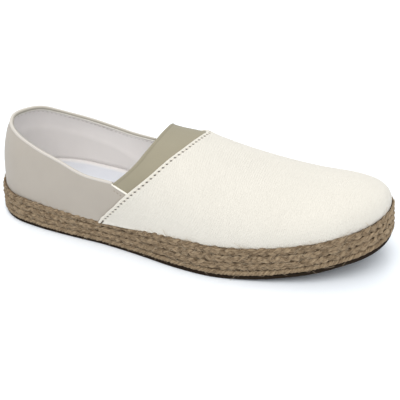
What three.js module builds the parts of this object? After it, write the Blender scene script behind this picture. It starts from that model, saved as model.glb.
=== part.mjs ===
import * as THREE from 'three';

// A slip-on espadrille for the right foot, in millimetres.
// X runs from the heel to the toe and Z is up. Lateral is the outer side (-Y), medial the inner (+Y).
// The upper is a set of ribs that climb from the sole's edge to a crest line over the foot.
// `at` is a place along the foot, 0 at the heel and 1 at the toe. `turn` is the same place as an angle
// round the outline: 0 at the heel, half a turn at the toe, negative on the lateral side.
// `climb` is the place on a rib, 0 at the sole and 1 at the crest.

// Sole
const LENGTH = 280;
const BALL_WIDTH = 100;
const TOE_SWING = 12;
const TOE_SPRING = 17.5;
const SPRING_START = 0.62;
const OUTSOLE_THICKNESS = 2.6;
const OUTSOLE_INSET = 1.2;
const BRAID_HEIGHT = 19.9;
const BRAID_VALLEY = 0.9;
const BRAID_ROWS = 3;
const CORD_SHARE = 0.19;
const ROW_PROFILE = [{ up: 0, dent: 1 }, { up: 0.25, dent: 0.2 }, { up: 0.65, dent: 0 }];
const INSOLE_THICKNESS = 1.6;
const INSOLE_CLEARANCE = 0.8;

// Upper
const FEATHER_STEP = 3.5;
const HEEL_HEIGHT = 43.8;
const INSTEP_HEIGHT = 55.4;
const HEEL_REACH = 34;
const TOE_REACH = 26;
const HEEL_FAN = 0.28;
const TOE_FAN = 0.72;
const LINING_THICKNESS = 1.3;
const QUARTER_THICKNESS = 1;
const VAMP_THICKNESS = 1.3;
const GORE_THICKNESS = 0.8;
const BINDING_WIDTH = 3.2;
const BINDING_HEIGHT = 2.4;
const SEAM_GAP = 0.4;

// Half widths of the sole on each side of the line from heel to toe, as shares of the ball width
const OUTLINE = [
  { at: 0, lateral: 0, medial: 0 },
  { at: 0.012, lateral: 0.132, medial: 0.136 },
  { at: 0.035, lateral: 0.234, medial: 0.23 },
  { at: 0.08, lateral: 0.333, medial: 0.31 },
  { at: 0.15, lateral: 0.39, medial: 0.348 },
  { at: 0.25, lateral: 0.43, medial: 0.325 },
  { at: 0.35, lateral: 0.458, medial: 0.28 },
  { at: 0.45, lateral: 0.512, medial: 0.285 },
  { at: 0.54, lateral: 0.569, medial: 0.33 },
  { at: 0.63, lateral: 0.598, medial: 0.382 },
  { at: 0.72, lateral: 0.573, medial: 0.414 },
  { at: 0.8, lateral: 0.525, medial: 0.404 },
  { at: 0.87, lateral: 0.46, medial: 0.362 },
  { at: 0.93, lateral: 0.361, medial: 0.298 },
  { at: 0.97, lateral: 0.252, medial: 0.224 },
  { at: 0.992, lateral: 0.138, medial: 0.132 },
  { at: 1, lateral: 0, medial: 0 },
];

// Sections of the foot: the crest's height over the sole as shares of the two heights, its place across
// and the swell of the wall as shares of the ball width, how square the section is, the share of the step
// by which the wall's foot stands inside the sole's edge, and the braid's height as a share of its own
const SECTIONS = [
  { at: 0, heel: 1.31, instep: 0, line: 0.01, swell: 0, square: 2.6, inside: 1, braid: 0.955 },
  { at: 0.12, heel: 1.31, instep: 0, line: 0.01, swell: 0, square: 2.7, inside: 0.9, braid: 0.92 },
  { at: 0.22, heel: 0.83, instep: 0.418, line: 0, swell: 0.004, square: 3.1, inside: 0.6, braid: 0.87 },
  { at: 0.32, heel: 0.3, instep: 0.827, line: 0, swell: 0.01, square: 3.3, inside: 0.35, braid: 0.83 },
  { at: 0.4, heel: 0, instep: 1, line: 0.01, swell: 0.01, square: 2.7, inside: 0.4, braid: 0.86 },
  { at: 0.47, heel: 0, instep: 0.91, line: 0.03, swell: 0.006, square: 2.3, inside: 0.65, braid: 0.93 },
  { at: 0.54, heel: 0, instep: 0.836, line: 0.06, swell: 0.002, square: 2.2, inside: 0.9, braid: 0.98 },
  { at: 0.62, heel: 0, instep: 0.694, line: 0.09, swell: 0, square: 2.2, inside: 1, braid: 1 },
  { at: 0.72, heel: 0, instep: 0.533, line: 0.12, swell: 0, square: 2.25, inside: 1, braid: 0.995 },
  { at: 0.81, heel: 0, instep: 0.415, line: 0.13, swell: 0, square: 2.3, inside: 1, braid: 0.981 },
  { at: 0.9, heel: 0, instep: 0.347, line: 0.13, swell: 0, square: 2.4, inside: 1, braid: 0.959 },
  { at: 1, heel: 0, instep: 0.193, line: 0.13, swell: 0, square: 2.4, inside: 1, braid: 0.925 },
];

// Rise of the collar on each side, as a share of the rib that it ends
const COLLAR = [
  { at: 0, lateral: 0.735, medial: 0.735 },
  { at: 0.05, lateral: 0.71, medial: 0.73 },
  { at: 0.1, lateral: 0.67, medial: 0.67 },
  { at: 0.16, lateral: 0.61, medial: 0.595 },
  { at: 0.23, lateral: 0.535, medial: 0.53 },
  { at: 0.3, lateral: 0.463, medial: 0.488 },
  { at: 0.378, lateral: 0.468, medial: 0.482 },
];

// Places along the foot of the gore's rear edge, and of the vamp's on each side, up the rib
const GORE_EDGE = [
  { climb: 0.235, at: 0.378 },
  { climb: 0.38, at: 0.408 },
  { climb: 0.51, at: 0.427 },
  { climb: 0.65, at: 0.439 },
  { climb: 0.84, at: 0.449 },
  { climb: 1, at: 0.452 },
];
const VAMP_EDGE = [
  { climb: 0, lateral: 0.345, medial: 0.345 },
  { climb: 0.05, lateral: 0.372, medial: 0.372 },
  { climb: 0.15, lateral: 0.402, medial: 0.402 },
  { climb: 0.25, lateral: 0.426, medial: 0.426 },
  { climb: 0.42, lateral: 0.462, medial: 0.465 },
  { climb: 0.62, lateral: 0.495, medial: 0.505 },
  { climb: 0.79, lateral: 0.519, medial: 0.53 },
  { climb: 0.92, lateral: 0.531, medial: 0.539 },
  { climb: 1, lateral: 0.537, medial: 0.537 },
];
const QUARTER_TIP_CLIMB = 0.215;
const GORE_TIP_CLIMB = 0.221;

// Fineness of the meshes
const ROUND_STEPS = 84;
const WALL_ROWS = 11;
const VAMP_ROWS = 11;
const VAMP_STEPS = 17;
const SIDE_STEPS = { heel: 13, gore: 6, fore: 17 };
const QUARTER_STEPS = { heel: 14, tip: 5 };
const QUARTER_ROWS = 7;
const GORE_ROWS = 14;
const GORE_STEPS = 3;
const BEAD_SIDES = 8;
const NUDGE = 1e-3;
const HALVINGS = 40;

const COLOURS = {
  rubber: 0x282023,
  jute: 0x9c8666,
  insole: 0xdfe1e8,
  lining: 0xd6d3cf,
  quarter: 0xbdb3aa,
  gore: 0xaaa486,
  vamp: 0xf2ecdf,
  binding: 0xe4dfcc,
};

const turnOf = (at) => Math.acos(1 - 2 * at);
const atOf = (turn) => (1 - Math.cos(turn)) / 2;
const share = (value) => THREE.MathUtils.clamp(value, 0, 1);
const hump = (t) => 4 * t * (1 - t);

for (const row of OUTLINE) row.turn = turnOf(row.at);

// Smooth curve through the column `name` of a table, read at a value of its column `key`
function read(table, key, name, value) {
  const end = table.length - 1;
  let i = 0;
  while (i < end - 1 && value > table[i + 1][key]) i += 1;
  const width = (k) => table[k + 1][key] - table[k][key];
  const slope = (k) => (table[k + 1][name] - table[k][name]) / width(k);
  const tangent = (k) => {
    if (k === 0) return slope(0);
    if (k === end) return slope(end - 1);
    return (slope(k - 1) * width(k) + slope(k) * width(k - 1)) / (width(k - 1) + width(k));
  };
  const u = share((value - table[i][key]) / width(i));
  const v = 1 - u;
  const ends = table[i][name] * (1 + 2 * u) * v * v + table[i + 1][name] * u * u * (3 - 2 * u);
  return ends + width(i) * u * v * (tangent(i) * v - tangent(i + 1) * u);
}

// Height by which the toe spring lifts the sole
function springAt(x) {
  return TOE_SPRING * share((x / LENGTH - SPRING_START) / (1 - SPRING_START)) ** 2;
}

function braidHeight(x) {
  return read(SECTIONS, 'at', 'braid', x / LENGTH) * BRAID_HEIGHT;
}

// Top of the braid under the upper and the insole
function soleTop(x) {
  return springAt(x) + OUTSOLE_THICKNESS + SEAM_GAP + braidHeight(x);
}

function edgePoint(turn) {
  const at = atOf(turn);
  const side = turn < 0 ? -1 : 1;
  const half = read(OUTLINE, 'turn', sideOf(turn), Math.abs(turn));
  return new THREE.Vector2(at * LENGTH, at * TOE_SWING + side * half * BALL_WIDTH);
}

const wrap = (turn) => THREE.MathUtils.euclideanModulo(turn + Math.PI, 2 * Math.PI) - Math.PI;

// Point of the sole's outline, moved in from its edge
function outlinePoint(turn, inset) {
  const along = edgePoint(wrap(turn + NUDGE)).sub(edgePoint(wrap(turn - NUDGE))).normalize();
  return edgePoint(wrap(turn)).add(new THREE.Vector2(along.y, -along.x).multiplyScalar(inset));
}

function crestHeight(at) {
  return read(SECTIONS, 'at', 'heel', at) * HEEL_HEIGHT + read(SECTIONS, 'at', 'instep', at) * INSTEP_HEIGHT;
}

// Point on a rib of the upper's outer form
function ribPoint(turn, climb) {
  const at = atOf(turn);
  const foot = outlinePoint(turn, FEATHER_STEP * read(SECTIONS, 'at', 'inside', at));
  const heelPull = share(1 - at / HEEL_FAN) ** 2 * HEEL_REACH;
  const toePull = share((at - TOE_FAN) / (1 - TOE_FAN)) ** 2 * TOE_REACH;
  const crestX = at * LENGTH + heelPull - toePull;
  const crestY = read(SECTIONS, 'at', 'line', crestX / LENGTH) * BALL_WIDTH;
  const power = 2 / read(SECTIONS, 'at', 'square', at);
  const angle = climb * Math.PI / 2;
  const out = climb >= 1 ? 0 : Math.cos(angle) ** power;
  const rise = Math.sin(angle) ** power;
  const swell = read(SECTIONS, 'at', 'swell', at) * BALL_WIDTH * hump(rise);
  const x = crestX + (foot.x - crestX) * out;
  const y = crestY + (foot.y - crestY) * out + Math.sign(wrap(turn)) * swell;
  const base = soleTop(edgePoint(wrap(turn)).x) + SEAM_GAP;
  return new THREE.Vector3(x, y, base + (soleTop(x) + crestHeight(x / LENGTH) - base) * rise);
}

// Outward direction of the upper's form
function ribNormal(turn, climb) {
  if (climb > 1 - NUDGE) {
    const x = ribPoint(turn, 1).x;
    const height = (step) => soleTop(x + step) + crestHeight((x + step) / LENGTH);
    return new THREE.Vector3(-(height(NUDGE) - height(-NUDGE)) / (2 * NUDGE), 0, 1).normalize();
  }
  const low = Math.max(climb, NUDGE);
  const round = ribPoint(turn + NUDGE, low).sub(ribPoint(turn - NUDGE, low));
  const up = ribPoint(turn, Math.min(low + NUDGE, 1)).sub(ribPoint(turn, low - NUDGE));
  return up.cross(round).normalize();
}

// Climb at which a rib has the given rise
function climbOf(at, rise) {
  return Math.asin(rise ** (read(SECTIONS, 'at', 'square', at) / 2)) / (Math.PI / 2);
}

const sideOf = (turn) => (turn < 0 ? 'lateral' : 'medial');

function collarClimb(at, side) {
  return climbOf(at, read(COLLAR, 'at', sideOf(side), at));
}

const vampRear = (climb, side) => read(VAMP_EDGE, 'climb', sideOf(side), climb);
const goreRear = (climb) => read(GORE_EDGE, 'climb', 'at', climb);

// Climb, from a lowest one, at which an edge that leans forward passes a place along the foot
function edgeClimb(edge, lowest, at) {
  let low = lowest;
  let high = 1;
  for (let i = 0; i < HALVINGS; i += 1) {
    const middle = (low + high) / 2;
    if (edge(middle) < at) low = middle;
    else high = middle;
  }
  return (low + high) / 2;
}

const CORNER_AT = COLLAR[COLLAR.length - 1].at;
const GORE_TOP_AT = GORE_EDGE[GORE_EDGE.length - 1].at;
const TIP_AT = vampRear(QUARTER_TIP_CLIMB, -1);
const GAP_AT = SEAM_GAP / LENGTH;

// Top of the upper on a rib: the collar, then the gore's edge, then the crest
function topClimb(at, side) {
  if (at <= CORNER_AT) return collarClimb(at, side);
  if (at >= GORE_TOP_AT) return 1;
  const corner = collarClimb(CORNER_AT, side);
  const start = GORE_EDGE[0].climb;
  const climb = edgeClimb(goreRear, start, at);
  return corner + (climb - start) * (1 - corner) / (1 - start);
}

// The quarter's front edge falls from the collar's corner to the tip on the vamp's edge
function quarterTop(at, side) {
  if (at <= CORNER_AT) return collarClimb(at, side);
  const along = share((at - CORNER_AT) / (TIP_AT - CORNER_AT));
  return THREE.MathUtils.lerp(collarClimb(CORNER_AT, side), QUARTER_TIP_CLIMB, along);
}

function solidGeometry(points, triangles) {
  const geometry = new THREE.BufferGeometry();
  geometry.setAttribute('position', new THREE.Float32BufferAttribute(points.flatMap((p) => p.toArray()), 3));
  geometry.setIndex(triangles.flat());
  return geometry;
}

// Closed shell over a grid of places on the upper, between two distances from its outer form
function shell(grid, inner, outer) {
  const known = new Map();
  const points = [];
  const normals = [];
  const ids = grid.map((line) => line.map(([turn, climb]) => {
    const point = ribPoint(turn, climb);
    const key = point.toArray().map((value) => value.toFixed(4)).join();
    if (!known.has(key)) {
      known.set(key, points.length);
      points.push(point);
      normals.push(ribNormal(turn, climb));
    }
    return known.get(key);
  }));
  const faces = [];
  for (let i = 0; i + 1 < ids.length; i += 1) {
    for (let j = 0; j + 1 < ids[i].length; j += 1) {
      faces.push([ids[i][j], ids[i][j + 1], ids[i + 1][j + 1]]);
      faces.push([ids[i][j], ids[i + 1][j + 1], ids[i + 1][j]]);
    }
  }
  const real = faces.filter(([a, b, c]) => a !== b && b !== c && c !== a);
  const edges = new Map();
  for (const [a, b, c] of real) for (const [p, q] of [[a, b], [b, c], [c, a]]) edges.set(`${p} ${q}`, [p, q]);
  const count = points.length;
  const triangles = real.flatMap(([a, b, c]) => [[a, b, c], [a + count, c + count, b + count]]);
  for (const [p, q] of edges.values()) {
    if (!edges.has(`${q} ${p}`)) triangles.push([q, p, p + count], [q, p + count, q + count]);
  }
  const moved = (distance) => points.map((point, k) => point.clone().addScaledVector(normals[k], distance));
  return solidGeometry([...moved(outer), ...moved(inner)], triangles);
}

// Closed solid of rings of equal length, with its two ends filled by the given triangles of a ring
function rings(list, cap) {
  const size = list[0].length;
  const triangles = [];
  const last = list.length - 1;
  for (let k = 0; k < last; k += 1) {
    for (let i = 0; i < size; i += 1) {
      const a = k * size + i;
      const b = k * size + (i + 1) % size;
      triangles.push([a, b, b + size], [a, b + size, a + size]);
    }
  }
  for (const [a, b, c] of cap) triangles.push([a, c, b], [a + last * size, b + last * size, c + last * size]);
  return solidGeometry(list.flat(), triangles);
}

// Turns of the points round the sole, from the toe by the lateral side, the heel and the medial side
const ROUND = Array.from({ length: ROUND_STEPS }, (_, i) => -Math.PI + 2 * Math.PI * i / ROUND_STEPS);

// Triangles across the sole between points that lie at the same place along it
function soleCap() {
  const cap = [];
  const half = ROUND_STEPS / 2;
  for (let i = 0; i < half; i += 1) {
    const across = (k) => (ROUND_STEPS - k) % ROUND_STEPS;
    if (i > 0) cap.push([i, i + 1, across(i)]);
    if (i + 1 < half) cap.push([i + 1, across(i + 1), across(i)]);
  }
  return cap;
}

// Solid with the sole's outline, from levels of inset and height over the ground
function soleSolid(levels) {
  const list = levels.map(({ inset, height }) => ROUND.map((turn) => {
    const x = edgePoint(turn).x;
    const point = outlinePoint(turn, inset);
    return new THREE.Vector3(point.x, point.y, height(x) + springAt(x));
  }));
  return rings(list, soleCap());
}

function outsole() {
  return soleSolid([
    { inset: OUTSOLE_INSET, height: () => 0 },
    { inset: OUTSOLE_INSET, height: () => OUTSOLE_THICKNESS },
  ]);
}

// The braid's side has a cord at the bottom and rows of plait over it, each one round
function juteMidsole() {
  const rowShare = (1 - CORD_SHARE) / BRAID_ROWS;
  const rows = [{ from: 0, to: CORD_SHARE }];
  for (let k = 0; k < BRAID_ROWS; k += 1) {
    rows.push({ from: CORD_SHARE + k * rowShare, to: CORD_SHARE + (k + 1) * rowShare });
  }
  const bottom = OUTSOLE_THICKNESS + SEAM_GAP;
  const level = (part, inset) => ({ inset, height: (x) => bottom + part * braidHeight(x) });
  const levels = rows.flatMap(({ from, to }) => ROW_PROFILE.map(
    ({ up, dent }) => level(THREE.MathUtils.lerp(from, to, up), dent * BRAID_VALLEY),
  ));
  levels.push(level(1, BRAID_VALLEY));
  return soleSolid(levels);
}

function insole() {
  const inset = FEATHER_STEP + LINING_THICKNESS + INSOLE_CLEARANCE;
  const seat = (x) => soleTop(x) - springAt(x) + SEAM_GAP;
  return soleSolid([
    { inset, height: seat },
    { inset, height: (x) => seat(x) + INSOLE_THICKNESS },
  ]);
}

// Evenly spaced values from one to another
function spread(from, to, steps) {
  return Array.from({ length: steps + 1 }, (_, i) => THREE.MathUtils.lerp(from, to, i / steps));
}

function turnsBetween(places, steps) {
  const parts = steps.map((count, k) => spread(turnOf(places[k]), turnOf(places[k + 1]), count));
  return [0, ...parts.flatMap((part) => part.slice(1))];
}

// The lining wall carries the other pieces. It is open under the foot and at the collar.
function upper() {
  const { heel, gore, fore } = SIDE_STEPS;
  const half = turnsBetween([0, CORNER_AT, GORE_TOP_AT, 1], [heel, gore, fore]);
  const turns = [...half.slice(1).reverse().map((turn) => -turn), ...half];
  const grid = turns.map((turn) => spread(0, topClimb(atOf(turn), turn), WALL_ROWS).map((c) => [turn, c]));
  return shell(grid, -LINING_THICKNESS, 0);
}

// Outer layer round the heel, from one vamp edge to the other
function quarter() {
  const foot = vampRear(0, -1);
  const front = TIP_AT - 2 * GAP_AT;
  const places = [0, foot - GAP_AT, CORNER_AT, front];
  const { heel, tip } = QUARTER_STEPS;
  const half = turnsBetween(places, [heel, tip, tip]);
  const turns = [...half.slice(1).reverse().map((turn) => -turn), ...half];
  const grid = turns.map((turn) => {
    const at = atOf(turn);
    const low = at <= foot ? 0 : edgeClimb((climb) => vampRear(climb, turn), 0, at + GAP_AT);
    return spread(low, Math.max(low, quarterTop(at, turn)), QUARTER_ROWS).map((climb) => [turn, climb]);
  });
  return shell(grid, SEAM_GAP, SEAM_GAP + QUARTER_THICKNESS);
}

// Canvas over the forefoot. Its rear edge leans forward up to the crest on both sides.
function vamp() {
  const grid = spread(0, 1, VAMP_ROWS).map((climb) => {
    const half = (side) => spread(turnOf(vampRear(climb, side)), Math.PI, VAMP_STEPS);
    const turns = [...half(-1).map((turn) => -turn), ...half(1).slice(0, -1).reverse()];
    return turns.map((turn) => [turn, climb]);
  });
  return shell(grid.reverse(), SEAM_GAP, SEAM_GAP + VAMP_THICKNESS);
}

// Elastic over the instep, between the collar and the vamp's edge
function gore() {
  const line = (side) => spread(GORE_TIP_CLIMB, 1, GORE_ROWS).map((climb) => {
    const corner = collarClimb(CORNER_AT, side);
    const along = (climb - QUARTER_TIP_CLIMB) / (corner - QUARTER_TIP_CLIMB);
    const start = GORE_EDGE[0].climb;
    const upEdge = start + (climb - corner) * (1 - start) / (1 - corner);
    const rear = climb < corner
      ? THREE.MathUtils.lerp(TIP_AT, CORNER_AT, along) + 2 * GAP_AT
      : goreRear(upEdge);
    const front = vampRear(climb, side) - GAP_AT;
    return spread(rear, Math.max(front, rear), GORE_STEPS).map((at) => [side * turnOf(at), climb]);
  });
  return shell([...line(1), ...line(-1).reverse().slice(1)], SEAM_GAP, SEAM_GAP + GORE_THICKNESS);
}

// Rounded bead on the collar's edge, from corner to corner round the heel
function collarBinding() {
  const half = turnsBetween([0, CORNER_AT], [QUARTER_STEPS.heel + QUARTER_STEPS.tip]);
  const turns = [...half.slice(1).reverse().map((turn) => -turn), ...half];
  const edge = (turn) => ribPoint(turn, collarClimb(atOf(turn), turn));
  const middle = (SEAM_GAP + QUARTER_THICKNESS - LINING_THICKNESS) / 2;
  const list = turns.map((turn) => {
    const along = edge(turn + NUDGE).sub(edge(turn - NUDGE)).normalize();
    const out = ribNormal(turn, collarClimb(atOf(turn), turn));
    const up = along.clone().cross(out).normalize();
    const centre = edge(turn).addScaledVector(out, middle).addScaledVector(up, SEAM_GAP + BINDING_HEIGHT / 2);
    return spread(0, 2 * Math.PI, BEAD_SIDES).slice(0, -1).map((angle) => centre.clone()
      .addScaledVector(out, Math.cos(angle) * BINDING_WIDTH / 2)
      .addScaledVector(up, Math.sin(angle) * BINDING_HEIGHT / 2));
  });
  const cap = Array.from({ length: BEAD_SIDES - 2 }, (_, i) => [0, i + 1, i + 2]);
  return rings(list, cap);
}

// A mesh's faces point out where its volume is positive
function facingOut(geometry) {
  const position = geometry.getAttribute('position');
  const index = geometry.getIndex();
  const corner = (k) => new THREE.Vector3().fromBufferAttribute(position, index.getX(k));
  let volume = 0;
  for (let k = 0; k < index.count; k += 3) volume += corner(k).dot(corner(k + 1).cross(corner(k + 2)));
  if (volume < 0) index.array.reverse();
  return geometry;
}

const PIECES = [
  { name: 'outsole', make: outsole, color: COLOURS.rubber, roughness: 0.6 },
  { name: 'jute_midsole', make: juteMidsole, color: COLOURS.jute, roughness: 0.95 },
  { name: 'insole', make: insole, color: COLOURS.insole, roughness: 0.9 },
  { name: 'upper', make: upper, color: COLOURS.lining, roughness: 0.9 },
  { name: 'quarter', make: quarter, color: COLOURS.quarter, roughness: 0.85 },
  { name: 'vamp', make: vamp, color: COLOURS.vamp, roughness: 0.95 },
  { name: 'gore', make: gore, color: COLOURS.gore, roughness: 0.8 },
  { name: 'collar_binding', make: collarBinding, color: COLOURS.binding, roughness: 0.85 },
];

const shoe = new THREE.Group();
for (const { name, make, color, roughness } of PIECES) {
  const material = new THREE.MeshStandardMaterial({ color, roughness, metalness: 0 });
  const mesh = new THREE.Mesh(facingOut(make()), material);
  mesh.name = name;
  shoe.add(mesh);
}

// The origin is under the middle of the shoe, on the ground
const box = new THREE.Box3().setFromObject(shoe);
const centre = box.getCenter(new THREE.Vector3());
shoe.position.set(-centre.x, -centre.y, -box.min.z);

export default shoe;
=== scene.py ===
"""Looks of an espadrille for the right foot: plaited jute, canvas, elastic, lining and rubber.

Shapes are worked out in millimetres on the shoe's own form, X from heel to toe and Z up, and placed
in the frame in metres. Lateral is the outer side (-Y), medial the inner one (+Y).
"""
from math import cos, pi, radians, sin, sqrt

import bpy
import numpy as np
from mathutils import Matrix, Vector


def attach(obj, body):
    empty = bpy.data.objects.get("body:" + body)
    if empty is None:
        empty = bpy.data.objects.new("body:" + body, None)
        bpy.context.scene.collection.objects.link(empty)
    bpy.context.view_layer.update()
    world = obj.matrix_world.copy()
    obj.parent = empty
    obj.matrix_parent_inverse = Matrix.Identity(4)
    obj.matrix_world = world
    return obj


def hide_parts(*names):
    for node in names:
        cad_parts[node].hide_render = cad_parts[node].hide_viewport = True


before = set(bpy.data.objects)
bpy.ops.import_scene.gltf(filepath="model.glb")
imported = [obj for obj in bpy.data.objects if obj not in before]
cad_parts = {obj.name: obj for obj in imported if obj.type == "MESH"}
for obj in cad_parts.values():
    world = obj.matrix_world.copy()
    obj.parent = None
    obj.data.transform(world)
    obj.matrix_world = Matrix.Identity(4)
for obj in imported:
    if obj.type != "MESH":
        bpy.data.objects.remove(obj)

join = np.concatenate
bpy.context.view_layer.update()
METRE = 0.001


def table(names, *rows):
    """Columns by name from the rows of a short table."""
    return dict(zip(names.split(), np.array(rows, float).T))


# Sole
LENGTH = 280.0
BALL_WIDTH = 100.0
TOE_SWING = 12.0
TOE_SPRING = 17.5
SPRING_START = 0.62
OUTSOLE_THICKNESS = 2.6
OUTSOLE_INSET = 0.9
BRAID_HEIGHT = 19.9
BRAID_ROWS = 3
CORD_SHARE = 0.19
FEATHER_STEP = 3.5
SEAM_GAP = 0.4

# Upper
HEEL_HEIGHT = 43.8
INSTEP_HEIGHT = 55.4
HEEL_REACH = 34.0
TOE_REACH = 26.0
HEEL_FAN = 0.28
TOE_FAN = 0.72
COLLAR_RAISE = 1.5
LINING_LAYER = (-0.85, 0.0)
QUARTER_LAYER = (0.1, 0.9)
GORE_LAYER = (0.0, 1.05)
VAMP_LAYER = (0.4, 1.7)
UNDERLAP = 5.0 / LENGTH

OUTLINE = table(
    "at lateral medial",
    (0, 0, 0),
    (0.012, 0.132, 0.136),
    (0.035, 0.234, 0.23),
    (0.08, 0.333, 0.31),
    (0.15, 0.39, 0.348),
    (0.25, 0.43, 0.325),
    (0.35, 0.458, 0.28),
    (0.45, 0.512, 0.285),
    (0.54, 0.569, 0.33),
    (0.63, 0.598, 0.382),
    (0.72, 0.573, 0.414),
    (0.8, 0.525, 0.404),
    (0.87, 0.46, 0.362),
    (0.93, 0.361, 0.298),
    (0.97, 0.252, 0.224),
    (0.992, 0.138, 0.132),
    (1, 0, 0),
)
SECTIONS = table(
    "at heel instep line swell square inside braid hem",
    (0, 1.31, 0, 0.01, 0, 2.6, 1, 0.955, 2.4),
    (0.12, 1.31, 0, 0.01, 0, 2.7, 0.9, 0.92, 2.4),
    (0.22, 0.83, 0.418, 0, 0.004, 3.1, 0.6, 0.87, 2.2),
    (0.32, 0.3, 0.827, 0, 0.01, 3.3, 0.35, 0.83, 2),
    (0.4, 0, 1, 0.01, 0.01, 2.7, 0.4, 0.86, 1.8),
    (0.47, 0, 0.91, 0.03, 0.006, 2.3, 0.65, 0.93, 1.2),
    (0.54, 0, 0.836, 0.06, 0.002, 2.2, 0.9, 0.98, 0.9),
    (0.62, 0, 0.694, 0.09, 0, 2.2, 1, 1, 0.8),
    (0.72, 0, 0.533, 0.12, 0, 2.25, 1, 0.995, 0.8),
    (0.81, 0, 0.415, 0.13, 0, 2.3, 1, 0.981, 0.8),
    (0.9, 0, 0.347, 0.13, 0, 2.4, 1, 0.959, 0.8),
    (1, 0, 0.193, 0.13, 0, 2.4, 1, 0.925, 0.8),
)
COLLAR = table(
    "at lateral medial",
    (0, 0.735, 0.735),
    (0.05, 0.71, 0.73),
    (0.1, 0.67, 0.67),
    (0.16, 0.61, 0.595),
    (0.23, 0.547, 0.53),
    (0.3, 0.475, 0.488),
    (0.378, 0.468, 0.482),
)
GORE_EDGE = table(
    "climb at",
    (0.235, 0.378),
    (0.38, 0.408),
    (0.51, 0.427),
    (0.65, 0.439),
    (0.84, 0.449),
    (1, 0.452),
)
VAMP_EDGE = table(
    "climb lateral medial",
    (0, 0.343, 0.343),
    (0.01, 0.3535, 0.3535),
    (0.025, 0.362, 0.362),
    (0.05, 0.373, 0.373),
    (0.15, 0.402, 0.402),
    (0.25, 0.426, 0.426),
    (0.42, 0.462, 0.465),
    (0.62, 0.495, 0.505),
    (0.79, 0.519, 0.53),
    (0.92, 0.531, 0.539),
    (1, 0.537, 0.537),
)
QUARTER_TIP_CLIMB = 0.215
GORE_TIP_CLIMB = 0.2
NUDGE = 1e-3
TINY = 1e-12


def turn_of(at):
    return np.arccos(1 - 2 * np.clip(at, 0, 1))


def at_of(turn):
    return (1 - np.cos(turn)) / 2


OUTLINE["turn"] = turn_of(OUTLINE["at"])


def read(rows, key, name, value):
    """Smooth curve through a column of a table, read at values of its key column."""
    x, y = rows[key], rows[name]
    width = np.diff(x)
    slope = np.diff(y) / width
    tangent = np.empty(len(x))
    tangent[0], tangent[-1] = slope[0], slope[-1]
    tangent[1:-1] = (slope[:-1] * width[1:] + slope[1:] * width[:-1]) / (width[:-1] + width[1:])
    i = np.clip(np.searchsorted(x, value) - 1, 0, len(x) - 2)
    u = np.clip((value - x[i]) / width[i], 0, 1)
    v = 1 - u
    ends = y[i] * (1 + 2 * u) * v**2 + y[i + 1] * u**2 * (3 - 2 * u)
    return ends + width[i] * u * v * (tangent[i] * v - tangent[i + 1] * u)


def along_foot(name, at):
    """A column of the table of sections."""
    return read(SECTIONS, "at", name, at)


def spring_at(x):
    return TOE_SPRING * np.clip((x / LENGTH - SPRING_START) / (1 - SPRING_START), 0, 1) ** 2


def braid_height(x):
    return along_foot("braid", x / LENGTH) * BRAID_HEIGHT


def sole_top(x):
    return spring_at(x) + OUTSOLE_THICKNESS + SEAM_GAP + braid_height(x)


def wrap(turn):
    return (turn + pi) % (2 * pi) - pi


def edge_point(turn):
    """Points of the sole's outline, seen from above."""
    at = at_of(turn)
    size = np.abs(turn)
    lateral = -read(OUTLINE, "turn", "lateral", size)
    medial = read(OUTLINE, "turn", "medial", size)
    across = at * TOE_SWING + np.where(turn < 0, lateral, medial) * BALL_WIDTH
    return np.stack([at * LENGTH, across], -1)


def outline_point(turn, inset):
    """Points of the sole's outline, moved in from its edge."""
    along = edge_point(wrap(turn + NUDGE)) - edge_point(wrap(turn - NUDGE))
    along /= np.linalg.norm(along, axis=-1, keepdims=True)
    inward = np.stack([along[..., 1], -along[..., 0]], -1)
    return edge_point(wrap(turn)) + inward * np.asarray(inset)[..., None]


def crest_height(at):
    return along_foot("heel", at) * HEEL_HEIGHT + along_foot("instep", at) * INSTEP_HEIGHT


def rib_point(turn, climb):
    """Points on the ribs of the upper's form, from the sole's edge to the crest."""
    at = at_of(turn)
    foot = outline_point(turn, FEATHER_STEP * along_foot("inside", at))
    heel_pull = np.clip(1 - at / HEEL_FAN, 0, 1) ** 2 * HEEL_REACH
    toe_pull = np.clip((at - TOE_FAN) / (1 - TOE_FAN), 0, 1) ** 2 * TOE_REACH
    crest_x = at * LENGTH + heel_pull - toe_pull
    crest_y = along_foot("line", crest_x / LENGTH) * BALL_WIDTH
    power = 2 / along_foot("square", at)
    angle = np.clip(climb, 0, 1) * pi / 2
    out = np.clip(np.cos(angle), TINY, 1) ** power
    rise = np.sin(angle) ** power
    swell = along_foot("swell", at) * BALL_WIDTH * 4 * rise * (1 - rise)
    x = crest_x + (foot[..., 0] - crest_x) * out
    y = crest_y + (foot[..., 1] - crest_y) * out + np.sign(wrap(turn)) * swell
    base = sole_top(edge_point(wrap(turn))[..., 0]) + SEAM_GAP
    return np.stack([x, y, base + (sole_top(x) + crest_height(x / LENGTH) - base) * rise], -1)


def unit(vectors):
    return vectors / np.maximum(np.linalg.norm(vectors, axis=-1, keepdims=True), TINY)


def rib_normal(turn, climb):
    """Outward directions of the upper's form."""
    low = np.clip(climb, NUDGE, 1 - NUDGE)
    around = rib_point(turn + NUDGE, low) - rib_point(turn - NUDGE, low)
    up = rib_point(turn, low + NUDGE) - rib_point(turn, low - NUDGE)
    side = unit(np.cross(up, around))
    x = rib_point(turn, np.ones_like(climb))[..., 0]
    ahead, behind = (sole_top(x + s) + crest_height((x + s) / LENGTH) for s in (NUDGE, -NUDGE))
    top = unit(np.stack([(behind - ahead) / (2 * NUDGE), 0 * x, 1 + 0 * x], -1))
    return np.where((climb > 1 - NUDGE)[..., None], top, side)


def climb_of(at, rise):
    """Climb at which a rib reaches a share of its height."""
    return np.arcsin(rise ** (along_foot("square", at) / 2)) / (pi / 2)


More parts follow.
